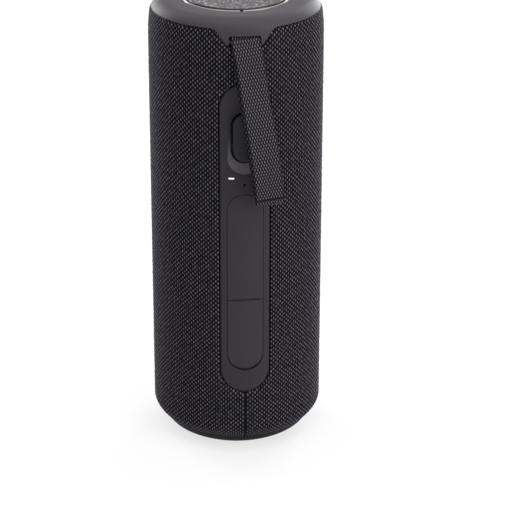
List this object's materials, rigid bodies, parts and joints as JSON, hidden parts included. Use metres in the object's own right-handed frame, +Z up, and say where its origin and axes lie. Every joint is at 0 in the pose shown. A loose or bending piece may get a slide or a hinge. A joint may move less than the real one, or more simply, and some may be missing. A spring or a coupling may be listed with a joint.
{
  "type": "portable bluetooth speaker",
  "caption": "Upright cloth-covered cylindrical portable speaker with a top dial, a rear control spine with a sealed port flap, and a webbing carry strap.",
  "frame": {"origin": "centre of the base, on the surface it stands on", "axes": "+Z up along the cylinder's axis; the spine with the key, ports and strap faces -Y; the drivers face -X and +X"},
  "size_m": [0.082, 0.0932, 0.2182],
  "materials": {
    "grille_cloth": "knitted bumpy mesh",
    "webbing": "flat woven webbing",
    "cap_plastic": "satin moulded",
    "dial_plastic": "fine speckled texture",
    "bezel_metal": "satin",
    "spine_plastic": "soft matte",
    "key_plastic": "soft matte",
    "cover_rubber": "soft matte",
    "foot_rubber": "matte",
    "seal_rubber": "matte",
    "base_plastic": "satin",
    "black_plastic": "moulded",
    "lamp_white": "milky",
    "ceramic_white": "ceramic",
    "steel": "plain",
    "port_metal": "polished",
    "can_metal": "plain",
    "circuit_board": "solder mask",
    "chip_black": "moulded",
    "ribbon_film": "film",
    "cell_wrap": "shrink wrap",
    "basket_steel": "painted",
    "magnet_ferrite": "ferrite",
    "cone_paper": "pressed paper",
    "passive_plate": "satin"
  },
  "bodies": {
    "cabinet": {"grille_fabric": "grille_cloth", "grille_frame": "black_plastic", "top_cap": "cap_plastic", "dial_bezel": "bezel_metal", "encoder": "black_plastic", "top_board": "circuit_board", "ring_lamps": "lamp_white", "antenna": "ceramic_white", "strap_bar": "basket_steel", "spine_panel": "spine_plastic", "power_switch": "steel", "key_gasket": "seal_rubber", "status_lens": "lamp_white", "status_lamp": "ceramic_white", "microphone_boot": "seal_rubber", "microphone": "steel", "port_cover": "cover_rubber", "port_frame": "black_plastic", "usb_c_shell": "port_metal", "usb_c_tongue": "black_plastic", "aux_jack": "black_plastic", "main_board": "circuit_board", "board_chips": "chip_black", "board_capacitors": "can_metal", "dial_ribbon": "ribbon_film", "acoustic_core": "black_plastic", "core_lid": "black_plastic", "core_gasket": "seal_rubber", "lid_screws": "steel", "base_screws": "steel", "driver_screws": "steel", "base_cap": "base_plastic", "foot_pad": "foot_rubber", "battery_cell_front": "cell_wrap", "battery_cell_rear": "cell_wrap", "battery_tray": "black_plastic", "battery_clamp": "black_plastic", "battery_board": "circuit_board", "woofer_basket_left": "basket_steel", "woofer_magnet_left": "magnet_ferrite", "woofer_pole_left": "steel", "woofer_surround_left": "seal_rubber", "passive_frame_left": "black_plastic", "passive_surround_left": "seal_rubber", "woofer_basket_right": "basket_steel", "woofer_magnet_right": "magnet_ferrite", "woofer_pole_right": "steel", "woofer_surround_right": "seal_rubber", "passive_frame_right": "black_plastic", "passive_surround_right": "seal_rubber"},
    "dial": {"volume_dial": "dial_plastic", "encoder_shaft": "steel"},
    "strap": {"carry_strap": "webbing"},
    "key": {"power_key": "key_plastic", "switch_plunger": "black_plastic"},
    "flap": {"port_flap": "cover_rubber"},
    "woofer_right": {"woofer_cone_right": "cone_paper"},
    "passive_right": {"passive_diaphragm_right": "passive_plate"},
    "woofer_left": {"woofer_cone_left": "cone_paper"},
    "passive_left": {"passive_diaphragm_left": "passive_plate"}
  },
  "joints": [
    {"name": "dial_turn", "type": "hinge", "parent": "cabinet", "child": "dial", "pos_m": [0, 0, 0.2152], "axis": [0, 0, 1], "continuous": true},
    {"name": "strap_swing", "type": "hinge", "parent": "cabinet", "child": "strap", "pos_m": [0, -0.038, 0.20745], "axis": [-1, 0, 0], "range_deg": [0, 65]},
    {"name": "key_press", "type": "slide", "parent": "cabinet", "child": "key", "axis": [0, 1, 0], "range_m": [0, 0.0005], "stiffness_N_per_m": 4000},
    {"name": "flap_open", "type": "hinge", "parent": "cabinet", "child": "flap", "pos_m": [0, -0.0411, 0.0808], "axis": [-1, 0, 0], "range_deg": [0, 120]},
    {"name": "woofer_travel_right", "type": "slide", "parent": "cabinet", "child": "woofer_right", "axis": [1, 0, 0], "range_m": [-0.002, 0.002], "stiffness_N_per_m": 900},
    {"name": "passive_travel_right", "type": "slide", "parent": "cabinet", "child": "passive_right", "axis": [1, 0, 0], "range_m": [-0.0025, 0.0025], "stiffness_N_per_m": 1200},
    {"name": "woofer_travel_left", "type": "slide", "parent": "cabinet", "child": "woofer_left", "axis": [-1, 0, 0], "range_m": [-0.002, 0.002], "stiffness_N_per_m": 900},
    {"name": "passive_travel_left", "type": "slide", "parent": "cabinet", "child": "passive_left", "axis": [-1, 0, 0], "range_m": [-0.0025, 0.0025], "stiffness_N_per_m": 1200}
  ]
}
